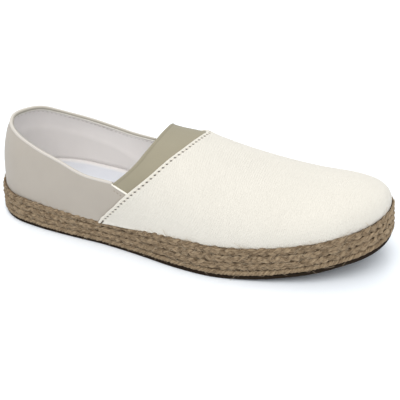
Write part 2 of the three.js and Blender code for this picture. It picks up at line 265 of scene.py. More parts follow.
def by_side(rows, key, value, side):
    """A table's lateral column where side is negative, and its medial one elsewhere."""
    lateral, medial = (read(rows, key, name, value) for name in ("lateral", "medial"))
    return np.where(np.asarray(side) < 0, lateral, medial)


def collar_climb(at, side):
    """Climb of the cloth's edge at the collar, inside the roll that covers it."""
    turn = turn_of(at)
    foot, crest = (rib_point(turn, climb + 0 * turn)[..., 2] for climb in (0, 1))
    return climb_of(at, by_side(COLLAR, "at", at, side) + COLLAR_RAISE / (crest - foot))


def vamp_rear(climb, side):
    """Place of the vamp's rear edge along the foot."""
    return by_side(VAMP_EDGE, "climb", climb, side)


def edge_climb(edge, column, at):
    """Climb at which an edge that leans forward passes a place along the foot."""
    climbs = np.linspace(edge["climb"][0], 1, 2001)
    return np.interp(at, read(edge, "climb", column, climbs), climbs)


CORNER_AT = COLLAR["at"][-1]
GORE_TOP_AT = GORE_EDGE["at"][-1]
TIP_AT = float(vamp_rear(QUARTER_TIP_CLIMB, -1))


def top_climb(at, side):
    """Top of the upper on a rib: the collar, then the gore's edge, then the crest."""
    corner = collar_climb(CORNER_AT, side)
    start = GORE_EDGE["climb"][0]
    over = corner + (edge_climb(GORE_EDGE, "at", at) - start) * (1 - corner) / (1 - start)
    return np.where(at <= CORNER_AT, collar_climb(at, side), np.where(at >= GORE_TOP_AT, 1, over))


def quarter_top(at, side):
    """The quarter's top: the collar, then the edge that falls to the tip and on under the vamp."""
    corner = collar_climb(CORNER_AT, side)
    along = np.maximum((at - CORNER_AT) / (TIP_AT - CORNER_AT), 0)
    falling = corner + (QUARTER_TIP_CLIMB - corner) * along
    return np.where(at <= CORNER_AT, collar_climb(at, side), falling)


def gore_rear(climb, side):
    """Place of the gore's rear edge along the foot, and of its seam with the quarter below the corner."""
    corner = collar_climb(CORNER_AT, side)
    start = GORE_EDGE["climb"][0]
    along = (climb - QUARTER_TIP_CLIMB) / (corner - QUARTER_TIP_CLIMB)
    over = read(GORE_EDGE, "climb", "at", start + (climb - corner) * (1 - start) / (1 - corner))
    return np.where(climb < corner, TIP_AT + (CORNER_AT - TIP_AT) * along, over)


# The form's middle lies under the frame's origin
ACROSS = edge_point(np.linspace(-pi, pi, 721))[:, 1]
MIDDLE = np.array([LENGTH / 2, (ACROSS.min() + ACROSS.max()) / 2, 0.0])


def placed(points):
    """Millimetres on the form to metres in the frame."""
    return (np.asarray(points) - MIDDLE) * METRE


# Meshes

WELD_DIGITS = 4
THINNEST = 0.03
WAVE_COUNT = 7
WAVE_SPREAD = (0.7, 1.6)
RIB_PARTS = 40


def smooth(value, low, high):
    t = np.clip((value - low) / (high - low), 0, 1)
    return t * t * (3 - 2 * t)


def columns(*values):
    """Numbers and arrays side by side, as the rows of one list."""
    return np.stack(np.broadcast_arrays(*values), -1).reshape(-1, len(values))


def angles(sides):
    return np.linspace(0, 2 * pi, sides + 1)[:-1]


def lengths_along(path):
    return join([[0], np.cumsum(np.linalg.norm(np.diff(path, axis=0), axis=1))])


def faces_of_grid(ids, loop=False):
    """Triangles over a grid of vertex numbers, without those that have no width."""
    if loop:
        ids = join([ids, ids[:, :1]], 1)
    a, b, c, d = ids[:-1, :-1], ids[:-1, 1:], ids[1:, 1:], ids[1:, :-1]
    faces = join([np.stack(corners, -1).reshape(-1, 3) for corners in ((a, b, c), (a, c, d))])
    return faces[np.all(faces != np.roll(faces, 1, 1), 1)]


def weld(points):
    """The first of each set of equal points, and the number of its own set for every point."""
    flat = np.round(points.reshape(-1, 3), WELD_DIGITS)
    _, first, ids = np.unique(flat, axis=0, return_index=True, return_inverse=True)
    return first, ids.reshape(points.shape[:-1])


def add_piece(name, points, faces, look, node, cloth=None, marks=None):
    """A smooth mesh that rides with the shoe and stands for a node of the frame."""
    a, b, c = ((points - points.mean(0))[faces[:, k]] for k in range(3))
    if np.sum(a * np.cross(b, c)) < 0:
        faces = faces[:, ::-1]
    mesh = bpy.data.meshes.new(name)
    mesh.vertices.add(len(points))
    mesh.vertices.foreach_set("co", placed(points).astype(np.float32).ravel())
    mesh.loops.add(faces.size)
    mesh.loops.foreach_set("vertex_index", faces.astype(np.int32).ravel())
    mesh.polygons.add(len(faces))
    mesh.polygons.foreach_set("loop_start", np.arange(0, faces.size, 3, dtype=np.int32))
    mesh.update(calc_edges=True)
    mesh.shade_smooth()
    for label, values in (("cloth", cloth), ("marks", marks)):
        if values is not None:
            layer = mesh.attributes.new(label, "FLOAT_VECTOR", "POINT")
            layer.data.foreach_set("vector", values.astype(np.float32).ravel())
    mesh.validate()
    mesh.materials.append(look)
    piece = bpy.data.objects.new(name, mesh)
    bpy.context.scene.collection.objects.link(piece)
    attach(piece, "root")
    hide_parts(node)


def add_tubes(name, items, look, node, cloth=None, marks=None):
    """A piece of closed tubes, each with a path (n, 3) and the rings round it (n, sides, 3)."""
    points, faces, count = [], [], 0
    for path, rings in items:
        length, sides = rings.shape[:2]
        hub = count + length * sides
        ids = np.arange(count, hub).reshape(length, sides)
        faces.append(faces_of_grid(ids, loop=True))
        for rim, end in ((ids[0], hub), (ids[-1][::-1], hub + 1)):
            faces.append(np.stack([np.full(sides, end), np.roll(rim, -1), rim], -1))
        points += [(path[:, None] + rings).reshape(-1, 3), path[:1], path[-1:]]
        count = hub + 2
    add_piece(name, join(points), join(faces), look, node, cloth, marks)


def undulation(points, height, wave, seed):
    """Soft unevenness, from a few plane waves in mixed directions."""
    draw = np.random.default_rng(seed)
    total = np.zeros(points.shape[:-1])
    for _ in range(WAVE_COUNT):
        direction = unit(draw.normal(size=3))
        length = wave * draw.uniform(*WAVE_SPREAD)
        total += np.sin(points @ direction * 2 * pi / length + draw.uniform(0, 2 * pi))
    return height * total / sqrt(WAVE_COUNT)


def bulge(value, height, middle, width):
    return height * np.exp(-(((value - middle) / width) ** 2))


def rounded(distance, radius):
    """Share of the full thickness at a distance from a rounded edge."""
    return np.sqrt(1 - (1 - np.clip(distance / radius, THINNEST, 1)) ** 2)


def surface(turn, climb, distance):
    """Points at a distance outside the upper's form."""
    return rib_point(turn, climb) + rib_normal(turn, climb) * distance


def cloth_place(turn, climb):
    """Where a place lies on the cloth when it is folded flat round the crest."""
    turns = turn.reshape(-1, 1) + np.zeros(RIB_PARTS + 1)
    ribs = rib_point(turns, np.linspace(0, 1, RIB_PARTS + 1) + 0 * turns)
    lengths = np.cumsum(np.linalg.norm(np.diff(ribs, axis=1), axis=2), 1)
    lengths = join([np.zeros((turn.size, 1)), lengths], 1)
    spot = np.clip(climb.reshape(-1), 0, 1) * RIB_PARTS
    low = np.minimum(spot.astype(int), RIB_PARTS - 1)
    pick = np.arange(turn.size)
    along = lengths[pick, low] + (lengths[pick, low + 1] - lengths[pick, low]) * (spot - low)
    down = (lengths[:, -1] - along)[:, None]
    crest, foot = ribs[:, -1, :2], ribs[:, 0, :2]
    return join([crest + unit(foot - crest) * down, 0 * down], 1)


def add_layer(name, turn, climb, reaches, look, node, marks=(0, 0, 0), drop=0.0):
    """A closed layer of cloth over a grid of places on the form, from its inner to its outer reach."""
    base = rib_point(turn, climb)
    base[..., 2] -= drop
    first, ids = weld(base)
    base = base.reshape(-1, 3)[first]
    normal = rib_normal(turn, climb).reshape(-1, 3)[first]
    inner, outer = (np.broadcast_to(reach, turn.shape).reshape(-1, 1)[first] for reach in reaches)
    top = faces_of_grid(ids)
    count = len(first)
    ways = join([top[:, [0, 1]], top[:, [1, 2]], top[:, [2, 0]]])
    rim = ways[~np.isin(ways[:, 0] * count + ways[:, 1], ways[:, 1] * count + ways[:, 0])]
    p, q = rim[:, 0], rim[:, 1]
    strips = [np.stack([q, p, p + count], -1), np.stack([q, p + count, q + count], -1)]
    faces = join([top, top[:, ::-1] + count, *strips])
    points = join([base + normal * outer, base + normal * inner])
    flat = cloth_place(turn, climb)
    marks = columns(*(mark + 0 * climb for mark in marks))
    cloth, marks = (np.tile(values[first], (2, 1)) for values in (flat, marks))
    add_piece(name, points, faces, look, node, cloth, marks)


# Fabric pieces

STITCH_INSET = 2.4
STITCH_PITCH = 3.3
STITCH_GAP = 1.4
HOLE_RADIUS = 0.5
HOLE_DEPTH = 0.6
THREAD_RADIUS = 0.22
THREAD_SINK = 0.02
THREAD_PARTS = 7
THREAD_SIDES = 6
EDGE_STEPS = np.array([0, 0.1, 0.25, 0.45, 0.7, 1, 1.35, 1.7, 2.05, 2.4, 2.75, 3.1, 3.6, 4.4, 5.5, 7])
FORE_STEPS = 54
FAR_IN = 99
ROW_STEP = 0.45
HEM_STEPS = np.array([1, 0.67, 0.33])
HEM_LEAN = 0.77
TOE_FULLNESS = 0.7
EDGE_LIFT = 0.8
VAMP_ROUND = 0.9
GORE_ROUND = 0.8
GORE_TUCK = 1.2
LINING_RISE = 0.2
STIFFENER_DEPTH = 0.35

# Height, middle and width of what stands out or dips along an edge
SEAM_GROOVE = (0.14, STITCH_INSET, 0.5)
SEAM_PUFF = (0.18, 1.2, 0.7)
GORE_FOLD = (0.35, 0.9, 0.8)
GORE_LINE = (0.12, 2.3, 0.3)
# Share, middle and width of the painted shade along the gore's groove
GORE_SHADE = (1, 2.3, 0.35)

# Height, length and seed of soft waves
VAMP_WAVES = (0.22, 46, 3)
QUARTER_WAVES = ((0.2, 38, 5), (0.08, 14, 6))
GORE_WAVES = (0.1, 20, 9)
LINING_WAVES = (0.3, 40, 11)
ROLL_WAVES = (0.035, 17, 21)

# Where waves and other things fade in: millimetres from an edge, climbs, or shares of the height
WAVES_FROM_EDGE = (2, 12)
WAVES_FROM_FOOT = (0, 0.3)
QUARTER_CALM = ((0, 0.2), (0, 0.1))
LINING_CALM = (0, 0.15)
STIFFENER_FADE = (0, 0.16)
FULL_FROM_FOOT = (0.1, 0.5)
FULL_TO_TOE = (0.88, 0.98)
LIFT_FADE = (3, 9)
BAND_FADE = (1.9, 3)
TUCK_FADE = (0, 0.04)
CREST_BLEND = (0.85, 1)

# Where the stiffener round the heel ends under the lining, as a share of the lining's height
STIFFENER = table(
    "at row",
    (0, 0.56),
    (0.1, 0.54),
    (0.2, 0.48),
    (0.28, 0.36),
    (0.34, 0.18),
    (0.378, 0),
)


def hem_at(turn):
    return along_foot("hem", at_of(turn))


def edge_turn(climb, side, ahead=0.0):
    """Turn of the vamp's rear edge, or of a place ahead of it along the foot."""
    return side * turn_of(vamp_rear(climb, side) + ahead / LENGTH)


def edge_reach(climb, side):
    """Distance along the foot, for each millimetre square to the vamp's rear edge."""
    share = smooth(climb, *CREST_BLEND) / 2
    climb = np.clip(climb, 2 * NUDGE, 1 - 2 * NUDGE)

    def of_side(one):
        above = rib_point(edge_turn(climb + NUDGE, one), climb + NUDGE)
        below = rib_point(edge_turn(climb - NUDGE, one), climb - NUDGE)
        ahead = rib_point(edge_turn(climb, one, 1.0), climb) - rib_point(edge_turn(climb, one), climb)
        return 1 / np.linalg.norm(np.cross(unit(above - below), ahead), axis=-1)

    own, other = of_side(side), of_side(-side)
    return own + (other - own) * share


def vamp_rows():
    """Climbs evenly spaced along the vamp's rear edge, and their distance from the crest on each side."""
    fine = np.linspace(0, 1, 1201)
    lateral, medial = (lengths_along(rib_point(edge_turn(fine, side), fine)) for side in (-1, 1))
    climbs = np.interp(np.linspace(0, lateral[-1], int(lateral[-1] / ROW_STEP)), lateral, fine)
    return climbs, [total[-1] - np.interp(climbs, fine, total) for total in (lateral, medial)]


def stitch_marks(inset, along):
    """How deep a place lies in a stitch hole, from its distances to the edge and along the seam."""
    nearest = (along / STITCH_PITCH - 0.5 - np.round(along / STITCH_PITCH - 0.5)) * STITCH_PITCH
    return np.exp(-(((inset - STITCH_INSET) ** 2 + nearest**2) / HOLE_RADIUS**2))


def vamp(look):
    climbs, seams = vamp_rows()
    hems = len(HEM_STEPS)
    hang = join([HEM_STEPS, 0 * climbs])[:, None]
    climbs = join([np.zeros(hems), climbs])
    hem = hem_at(edge_turn(0.0, -1))
    halves = []
    for side, seam in zip((-1, 1), seams):
        seam = join([np.full(hems, seam[0]), seam])[:, None]
        reach = edge_reach(climbs, side)[:, None]
        near = np.abs(edge_turn(climbs[:, None], side, EDGE_STEPS * reach - HEM_LEAN * hang * hem))
        far = near[:, -1:] + (pi - near[:, -1:]) * np.linspace(0, 1, FORE_STEPS + 1)[1:]
        turn = join([near, far], 1)
        inset = join([EDGE_STEPS + 0 * near, FAR_IN + 0 * far], 1)
        halves.append((side * turn, inset, seam + 0 * turn))
    turn, inset, seam = (join([a, b[:, -2::-1]], 1) for a, b in zip(*halves))
    climb = climbs[:, None] + 0 * turn
    waves = undulation(rib_point(turn, climb), *VAMP_WAVES)
    waves = waves * smooth(inset, *WAVES_FROM_EDGE) * smooth(climb, *WAVES_FROM_FOOT)
    fullness = TOE_FULLNESS * smooth(at_of(turn), *FULL_TO_TOE) * smooth(climb, *FULL_FROM_FOOT)
    hole = stitch_marks(inset, seam)
    relief = bulge(inset, *SEAM_PUFF) - bulge(inset, *SEAM_GROOVE) - HOLE_DEPTH * hole + waves + fullness
    inner = VAMP_LAYER[0] + EDGE_LIFT * (1 - smooth(inset, *LIFT_FADE))
    outer = inner + (VAMP_LAYER[1] - VAMP_LAYER[0]) * rounded(inset, VAMP_ROUND) + relief
    # The stitch holes' mark also gives the share of painted shade in them
    marks = (hole, 1 - smooth(inset, *BAND_FADE), 0)
    add_layer("vamp_canvas", turn, climb, (inner, outer), look, "vamp", marks,
              hang * hem_at(turn))


def thread(centre, along, out, length, radius):
    """Path and rings of one stitch, lying on the cloth with its ends going in."""
    t = np.linspace(-1, 1, THREAD_PARTS)
    path = centre + along * (t * length / 2)[:, None] - out * (radius * 1.6 * t**4)[:, None]
    angle = angles(THREAD_SIDES)[:, None]
    ring = np.cross(along, out) * np.cos(angle) + out * np.sin(angle)
    return path, radius * ring * np.sqrt(1.05 - t**6)[:, None, None]


def threads(path, along, out, ends, pitch, length, radius):
    """Stitches at even distances along a path, apart from its ends."""
    s = lengths_along(path)
    places = np.arange(ends[0], s[-1] - ends[1], pitch)
    return [thread(path[k], along[k], out[k], length, radius) for k in np.searchsorted(s, places)]


def vamp_stitches(look):
    climbs, seams = vamp_rows()
    height = VAMP_LAYER[1] + EDGE_LIFT - THREAD_SINK
    items = []
    for side, seam in zip((-1, 1), seams):
        places = np.arange(STITCH_PITCH, seam[0] - 1, STITCH_PITCH)
        climb = np.interp(places, seam[::-1], climbs[::-1])
        if side < 0:
            climb = np.append(climb, 1 - 3 * NUDGE)
        inset = STITCH_INSET * edge_reach(climb, side)
        turn = edge_turn(climb, side, inset)
        centre = surface(turn, climb, height)
        step = surface(edge_turn(climb - NUDGE, side, inset), climb - NUDGE, height)
        for frame_at in zip(centre, unit(step - centre), rib_normal(turn, climb)):
            items.append(thread(*frame_at, STITCH_PITCH - STITCH_GAP, THREAD_RADIUS))
    add_tubes("vamp_stitches", items, look, "vamp")


def turns_round(stops, counts):
    """Turns on both sides of the heel, evenly spaced between places along the foot."""
    turns = turn_of(np.array(stops))
    half = join([np.linspace(*ends, count)[1:] for *ends, count in zip(turns, turns[1:], counts)])
    return join([-half[::-1], [0], half])[:, None]


def quarter_front():
    """Place along the foot where the quarter ends under the vamp."""
    at = np.linspace(CORNER_AT, CORNER_AT + 0.09, 400)
    low = edge_climb(VAMP_EDGE, "lateral", at - UNDERLAP)
    return at[np.argmax(quarter_top(at, -1.0) <= low)]


def quarter(look):
    turn = turns_round((0, CORNER_AT, quarter_front()), (101, 31))
    at = at_of(turn)
    foot = vamp_rear(0, -1) + UNDERLAP
    low = np.where(at <= foot, 0, edge_climb(VAMP_EDGE, "lateral", at - UNDERLAP))
    top = np.maximum(quarter_top(at, turn), low)
    rows = np.linspace(0, 1, 61)
    climb = join([np.repeat(low, len(HEM_STEPS), 1), low + (top - low) * rows], 1)
    turn = turn + 0 * climb
    drop = join([HEM_STEPS, 0 * rows]) * hem_at(turn) * (climb <= 0)
    waves = sum(undulation(rib_point(turn, climb), *wave) for wave in QUARTER_WAVES)
    low_calm, top_calm = QUARTER_CALM
    outer = QUARTER_LAYER[1] + waves * smooth(climb, *low_calm) * smooth(top - climb, *top_calm)
    add_layer("quarter_cloth", turn, climb, (QUARTER_LAYER[0], outer), look, "quarter",
              drop=drop)


def gore(look):
    rows = np.linspace(GORE_TIP_CLIMB, 1, 121)[:, None]
    steps = join([np.linspace(0, 0.12, 9), np.linspace(0.12, 1, 25)[1:]])
    halves = []
    for side in (-1, 1):
        tuck = GORE_TUCK * smooth(collar_climb(CORNER_AT, side) - rows, *TUCK_FADE)
        rear = gore_rear(rows, side) - tuck / LENGTH
        at = rear + (vamp_rear(rows, side) + UNDERLAP - rear) * steps
        halves.append((side * turn_of(at), (at - rear) * LENGTH))
    turn, inset = (join([a, b[-2::-1]]) for a, b in zip(*halves))
    climb = join([rows, rows[-2::-1]]) + 0 * turn
    relief = bulge(inset, *GORE_FOLD) - bulge(inset, *GORE_LINE)
    relief = relief + undulation(rib_point(turn, climb), *GORE_WAVES)
    outer = GORE_LAYER[0] + (GORE_LAYER[1] - GORE_LAYER[0]) * rounded(inset, GORE_ROUND) + relief
    # The marks carry the painted shade along the groove
    add_layer("gore_elastic", turn, climb, (GORE_LAYER[0], outer), look, "gore",
              (0, bulge(inset, *GORE_SHADE), 0))


def lining(look):
    turn = turns_round((0, CORNER_AT, GORE_TOP_AT, 1), (81, 41, 41))
    rows = np.linspace(0, 1, 57)
    climb = top_climb(at_of(turn), turn) * rows
    turn = turn + 0 * climb
    waves = undulation(rib_point(turn, climb), *LINING_WAVES) * smooth(1 - rows, *LINING_CALM)
    edge = read(STIFFENER, "at", "row", np.clip(at_of(turn), 0, STIFFENER["at"][-1]))
    # The stiffener's step, which also gives the share of painted shade on the lining below its edge
    step_and_shade = STIFFENER_DEPTH * smooth(edge - rows, *STIFFENER_FADE) * (at_of(turn) < CORNER_AT)
    inner = LINING_LAYER[0] + waves - step_and_shade
    add_layer("lining_cloth", turn, climb, (inner, 0), look, "upper", (step_and_shade, 0, 0),
              (hem_at(turn) - LINING_RISE) * (rows <= 0))


# Collar

ROLL = table(
    "at height width",
    (0, 2.5, 2.9),
    (0.1, 1.9, 2.4),
    (0.25, 1.9, 2.4),
    (0.378, 1.7, 2.1),
)
ROLL_SINK = 0.35
ROLL_SQUARE = 0.75
ROLL_SIDES = 24
ROLL_GIRTH = 1.6
COLLAR_MIDDLE = (QUARTER_LAYER[1] + LINING_LAYER[0]) / 2
KHAKI_TURN = 0.18
KHAKI_FADE = (-0.05, 0.12)
PIPING_RADIUS = 0.55
PIPING_DROP = 0.15
LINING_STITCH_DROP = 2.2
LINING_STITCH_RADIUS = 0.25
FRONT_RADIUS = 0.7
QUARTER_STITCH_DROP = 0.04
QUARTER_STITCH_RADIUS = 0.28


def collar_frame(count):
    """Turns along the collar, its edge's points, and the directions along it, outward and up."""
    corner = turn_of(CORNER_AT)
    turn = np.linspace(-corner, corner, count)
    turn = turn[np.abs(turn) > NUDGE]

    def edge(step):
        return rib_point(turn + step, collar_climb(at_of(turn + step), turn))

    along = unit(edge(NUDGE) - edge(-NUDGE))
    out = rib_normal(turn, collar_climb(at_of(turn), turn))
    return turn, edge(0), along, out, unit(np.cross(along, out))


def collar_binding(look):
    turn, edge, _, out, up = collar_frame(420)
    height, width = (read(ROLL, "at", name, at_of(turn))[:, None, None] for name in ("height", "width"))
    centre = edge + out * COLLAR_MIDDLE + up * (height[:, 0] / 2 - ROLL_SINK)
    angle = angles(ROLL_SIDES)[None, :, None]
    lump = 1 + undulation(centre, *ROLL_WAVES)[:, None, None]
    across, rise = (np.sign(wave) * np.abs(wave) ** ROLL_SQUARE for wave in (np.cos(angle), np.sin(angle)))
    rings = (out[:, None] * across * width + up[:, None] * rise * height) / 2 * lump
    khaki = smooth(-np.cos(angle - KHAKI_TURN), *KHAKI_FADE) * np.ones((len(turn), 1, 1))
    marks = columns(0, 0, np.append(khaki, [0.5, 0.5]))
    cloth = columns(lengths_along(centre)[:, None], angle[..., 0] * ROLL_GIRTH, 0)
    cloth = join([cloth, cloth[:1], cloth[-1:]])
    add_tubes("collar_roll", [(centre, rings)], look, "collar_binding", cloth, marks)


def cord_along(path, out, radius, sides=8):
    """A path and the round rings of a cord along it."""
    along = unit(np.gradient(path, axis=0))
    across = unit(np.cross(along, out))
    normal = np.cross(across, along)
    angle = angles(sides)[None, :, None]
    return path, radius * (across[:, None] * np.cos(angle) + normal[:, None] * np.sin(angle))


def lining_piping(look):
    _, edge, _, out, up = collar_frame(300)
    path = edge + out * (LINING_LAYER[0] - PIPING_DROP) - up * (ROLL_SINK + PIPING_DROP)
    add_tubes("lining_piping", [cord_along(path, out, PIPING_RADIUS)], look,
              "collar_binding")


def lining_stitches(look):
    _, edge, along, out, up = collar_frame(3000)
    path = edge + out * (LINING_LAYER[0] - 0.05) - up * (ROLL_SINK + LINING_STITCH_DROP)
    items = threads(path, along, -out, (2, 2), STITCH_PITCH, STITCH_PITCH - 1.2, LINING_STITCH_RADIUS)
    add_tubes("lining_stitches", items, look, "upper")


def quarter_edge(at, side, drop, distance):
    """A line that follows the quarter's front edge, and the directions out of the cloth there."""
    turn, climb = side * turn_of(at), quarter_top(at, side) - drop
    return surface(turn, climb, distance), rib_normal(turn, climb)


def quarter_piping(look):
    """The folded edge where the quarter's front falls from the collar's corner to the vamp."""
    at = np.linspace(CORNER_AT, TIP_AT + 0.004, 60)
    lines = [quarter_edge(at, side, 0, QUARTER_LAYER[1]) for side in (-1, 1)]
    items = [cord_along(path, out, FRONT_RADIUS, sides=10) for path, out in lines]
    add_tubes("quarter_piping", items, look, "collar_binding")


def quarter_stitches(look):
    """The row of stitches under the quarter's folded front edge."""
    at = np.linspace(CORNER_AT + 0.004, TIP_AT - 0.01, 400)
    items = []
    for side in (-1, 1):
        path, out = quarter_edge(at, side, QUARTER_STITCH_DROP, QUARTER_LAYER[1] + 0.15)
        along = unit(np.gradient(path, axis=0))
        items += threads(path, along, out, (1, 0), STITCH_PITCH * 0.75, STITCH_PITCH * 0.4,
                         QUARTER_STITCH_RADIUS)
    add_tubes("quarter_stitches", items, look, "quarter")


# Sole

TOE_FLARE = 1.6
FLARE_FADE = (0.9, 0.98)
OUTSOLE_STEPS = 330
TREAD_DEPTH = 0.9
TREAD_PITCH = 7.0
TREAD_BORDER = (4.0, 5.2)
TREAD_EDGE = (0.25, 0.7)
# Steps in from the rubber's edge, and heights
OUTSOLE_SIDE = (
    (0.6, 0),
    (0.35, 0),
    (0.1, 0.175),
    (0, 0.5),
    (0, OUTSOLE_THICKNESS - 0.2),
    (0.2, OUTSOLE_THICKNESS),
    (0.4, OUTSOLE_THICKNESS),
)
CORE_STEPS = 280
CORE_INSET = 2.2
# Steps in from the core's edge, shares of the braid's height, and how far below that
CORE_SIDE = (
    (0, 0, 0),
    (0, 0.5, 0),
    (0, 1, 1.6),
    (0.5, 1, 1.6),
    (0.5, 1, 3.4),
)
INSOLE_STEPS = 200
INSOLE_ROOM = 0.9
INSOLE_SINK = 3.4
INSOLE_DEPTH = 1.0
INSOLE_DIP = 0.4
DIP_FADE = (4, 24)
FILLET_RISE = 2.4
FILLET_WIDTH = 5.0


def ring_turns(steps):
    half = np.linspace(0, pi, steps + 1)
    return join([half, -half[-2:0:-1]])


def toe_flare(at):
    """How far the braid and the rubber stand out round the toe."""
    return TOE_FLARE * smooth(at, *FLARE_FADE)


def plate(name, levels, across, look, node, top=None, bottom=None, steps=CORE_STEPS):
    """A closed solid with the sole's outline, from side levels of inset and height, and its two faces."""
    ring = ring_turns(steps)
    x = edge_point(ring)[:, 0]
    sides = []
    for inset, height in levels:
        spot = outline_point(ring, inset + 0 * ring)
        sides.append(columns(spot[:, 0], spot[:, 1], height + spring_at(x)))
    sides = np.stack(sides)
    v = np.linspace(0, 1, across + 1)[None, :, None]
    lateral = join([[0], np.arange(2 * steps - 1, steps, -1), [steps]])
    medial = np.arange(steps + 1)
    caps, margins = [], [0 * sides[..., 0]]
    for level, relief in ((sides[0], bottom), (sides[-1], top)):
        cap = level[lateral][:, None] * (1 - v) + level[medial][:, None] * v
        width = np.linalg.norm(level[lateral] - level[medial], axis=1)[:, None]
        ends = np.minimum(cap[..., 0] - cap[..., 0].min(), cap[..., 0].max() - cap[..., 0])
        margin = np.minimum(width * np.minimum(v[..., 0], 1 - v[..., 0]), ends)
        if relief:
            cap[..., 2] += relief(cap, margin)
        caps.append(cap)
        margins.append(margin)
    cloud = join([part.reshape(-1, 3) for part in (sides, *caps)])
    margin = join([part.reshape(-1) for part in margins])
    first, ids = weld(cloud)
    side_ids, low_ids, high_ids = np.split(ids, np.cumsum([margins[0].size, margins[1].size]))
    faces = join([
        faces_of_grid(side_ids.reshape(sides.shape[:2]), loop=True)[:, ::-1],
        faces_of_grid(low_ids.reshape(caps[0].shape[:2])),
        faces_of_grid(high_ids.reshape(caps[1].shape[:2]))[:, ::-1],
    ])
    points = cloud[first]
    marks = columns(margin[first], 0, 0)
    add_piece(name, points, faces, look, node, points * (1, 1, 0), marks)


def tread(points, margin):
    """Wavy grooves cut up into the rubber, inside a plain border."""
    wave = np.sin(2 * pi * (points[..., 0] + 3 * np.sin(points[..., 1] / 5.5)) / TREAD_PITCH)
    return TREAD_DEPTH * smooth(wave, *TREAD_EDGE) * smooth(margin, *TREAD_BORDER)


def outsole(look):
    inset = OUTSOLE_INSET - toe_flare(at_of(ring_turns(OUTSOLE_STEPS)))
    levels = [(inset + step, height) for step, height in OUTSOLE_SIDE]
    plate("outsole_rubber", levels, 90, look, "outsole", bottom=tread,
          steps=OUTSOLE_STEPS)


def jute_core(look):
    """The inside of the braid, which shows only deep between the strands."""
    turn = ring_turns(CORE_STEPS)
    inset = CORE_INSET - 0.6 * toe_flare(at_of(turn))
    braid = braid_height(edge_point(turn)[:, 0])
    bottom = OUTSOLE_THICKNESS + 0.1
    levels = [(inset + step, bottom + share * braid - sink) for step, share, sink in CORE_SIDE]
    plate("jute_core", levels, 6, look, "jute_midsole")


def insole(look):
    """A thin cushion whose edge runs up softly into the lining."""
    turn = ring_turns(INSOLE_STEPS)
    inset = FEATHER_STEP * along_foot("inside", at_of(turn)) + INSOLE_ROOM
    x = edge_point(turn)[:, 0]
    seat = sole_top(x) - spring_at(x) - INSOLE_SINK

    def cushion(points, margin):
        fillet = 1 - np.sqrt(1 - (1 - np.clip(margin / FILLET_WIDTH, 0, 1)) ** 2)
        return FILLET_RISE * (fillet - 1) - INSOLE_DIP * smooth(margin, *DIP_FADE)

    levels = [(inset, seat), (inset, seat + INSOLE_DEPTH + FILLET_RISE)]
    plate("insole_cloth", levels, 90, look, "insole", top=cushion, steps=INSOLE_STEPS)


# Jute

PLAIT_PITCH = 6.0
PLAIT_DEPTH = 0.6
PLAIT_SEED = 40
ROW_SHIFT = 0.21
STRANDS = 3
STRAND_WIDTH = 3.15
STRAND_DEPTH = 1.9
STRAND_STEP = 0.62
STRAND_SIDES = 12
STRAND_LAY = 9.0
PLIES = 3
PLY_RIDGE = 0.13
DRIFT_WAVES = 9
PLAIT_TINT = 0.5
CORD_TINT = 0.66
HEM_ROOM = 0.9
# Painted light: the plaits turn lighter at the very toe, which the lamps leave darker
TOE_PAINTED_LIGHT = 0.6
TOE_LIGHT_FADE = (0.94, 1)
PLAIT_HOLLOW = (-0.35, 0.95)
CORD_HOLLOW = (-0.2, 1.3)
CORD_PLIES = 3
CORD_LAY = 7.4
CORD_PLY = 2.3
CORD_PLY_LAY = 5.0
CORD_MIDDLE = 0.85
CORD_INSET = 1.75
CORD_STEP = 0.55
CORD_SINK = 0.6
CORD_RISE = 0.6
SINK_FADE = (0.35, 0.6)
RISE_FADE = (0.68, 0.85)
CORD_SEED = 71

# Size and length of the drifts that make the strands uneven
PHASE_DRIFT = (0.3, 22)
SWING_DRIFT = (0.08, 14)
RISE_DRIFT = (0.27, 8)
REACH_DRIFT = (0.14, 7)
WIDTH_DRIFT = (0.13, 6)
DEPTH_DRIFT = (0.12, 7)
TWIST_DRIFT = (1.5, 20)
TINT_DRIFT = (0.35, 8)
CORD_PHASE_DRIFT = (0.2, 18)
CORD_SIZE_DRIFT = (0.1, 8)
CORD_TINT_DRIFT = (0.25, 12)

FIBRES = 1900
FIBRE_RADIUS = 0.085
FIBRE_LENGTH = (2.5, 8.0)
FIBRE_PARTS = 6
FIBRE_SEED = 97


def cord_sink(x):
    """How far the cord hangs over the rubber, which shows more under the forefoot."""
    x = x / LENGTH
    return CORD_SINK * (1 - smooth(x, *SINK_FADE)) - CORD_RISE * smooth(x, *RISE_FADE)


def plaited_height(x):
    """Height of the plaits, which end a little under the hem that hangs over them."""
    return braid_height(x) - HEM_ROOM * np.maximum(along_foot("hem", np.clip(x / LENGTH, 0, 1)) - 1, 0)


def track(inset, height, flare=0.0):
    """A closed track round the sole: a function from distance to points and directions, and its length."""
    turn = np.linspace(-pi, pi, 6001)
    flat = outline_point(turn, inset - flare * toe_flare(at_of(turn)))
    path = join([flat, (height(flat[:, 0]) + spring_at(flat[:, 0]))[:, None]], 1)
    s = lengths_along(path)
    course = join([path, unit(np.gradient(path, axis=0))], 1)

    def at(distance):
        spot = np.mod(distance, s[-1])
        values = np.stack([np.interp(spot, s, course[:, k]) for k in range(6)], -1)
        point, way = values[..., :3], values[..., 3:]
        out = unit(np.stack([-way[..., 1], way[..., 0], 0 * way[..., 0]], -1))
        return point, out, np.cross(way, out)

    return at, s[-1]


